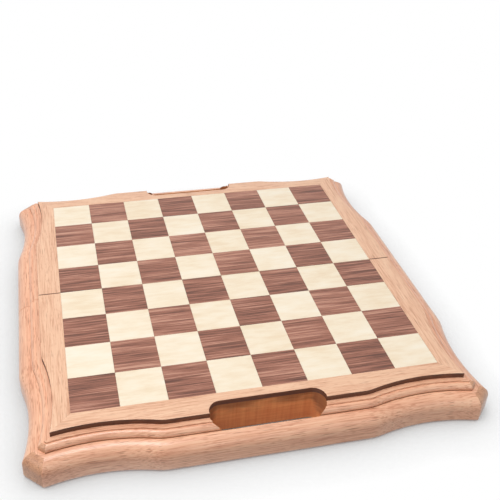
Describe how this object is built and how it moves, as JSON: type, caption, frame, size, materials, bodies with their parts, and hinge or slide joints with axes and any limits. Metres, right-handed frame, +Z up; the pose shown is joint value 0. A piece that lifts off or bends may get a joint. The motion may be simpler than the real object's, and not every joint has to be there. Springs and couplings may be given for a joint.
{
  "type": "folding chess board",
  "caption": "Wooden chess board that folds along its middle into a storage case, with a moulded wavy rim and hand slots.",
  "frame": {"origin": "on the table under the middle of the open board, where the hinge knuckles touch", "axes": "+X along the fold towards the right side, +Y from the near half to the far half, +Z up through the playing face"},
  "size_m": [0.4044, 0.4044, 0.0367],
  "materials": {
    "beech": "satin lacquer",
    "border_beech": "satin lacquer, dark cut edge",
    "panel_ply": "plain plywood",
    "light_wood": "satin lacquer",
    "dark_wood": "satin lacquer",
    "spline_wood": "plain",
    "felt": "short felt",
    "brass": "satin",
    "magnet": "nickel plated"
  },
  "bodies": {
    "near_half": {"near_handle_rail": "beech", "near_left_rail": "beech", "near_right_rail": "beech", "near_fold_rail": "beech", "near_handle_border": "border_beech", "near_left_border": "border_beech", "near_right_border": "border_beech", "near_panel": "panel_ply", "near_light_squares": "light_wood", "near_dark_squares": "dark_wood", "near_lining": "felt", "near_long_divider": "beech", "near_short_dividers": "beech", "near_magnets": "magnet", "near_corner_splines": "spline_wood", "near_dowels": "spline_wood", "left_hinge_near_leaf": "brass", "left_hinge_pin": "brass", "right_hinge_near_leaf": "brass", "right_hinge_pin": "brass"},
    "far_half": {"far_handle_rail": "beech", "far_left_rail": "beech", "far_right_rail": "beech", "far_fold_rail": "beech", "far_handle_border": "border_beech", "far_left_border": "border_beech", "far_right_border": "border_beech", "far_panel": "panel_ply", "far_light_squares": "light_wood", "far_dark_squares": "dark_wood", "far_lining": "felt", "far_long_divider": "beech", "far_short_dividers": "beech", "far_magnets": "magnet", "far_corner_splines": "spline_wood", "far_dowels": "spline_wood", "left_hinge_far_leaf": "brass", "right_hinge_far_leaf": "brass"}
  },
  "joints": [
    {"name": "fold", "type": "hinge", "parent": "near_half", "child": "far_half", "pos_m": [0, 0, 0.0016], "axis": [-1, 0, 0], "range_deg": [0, 180]}
  ]
}
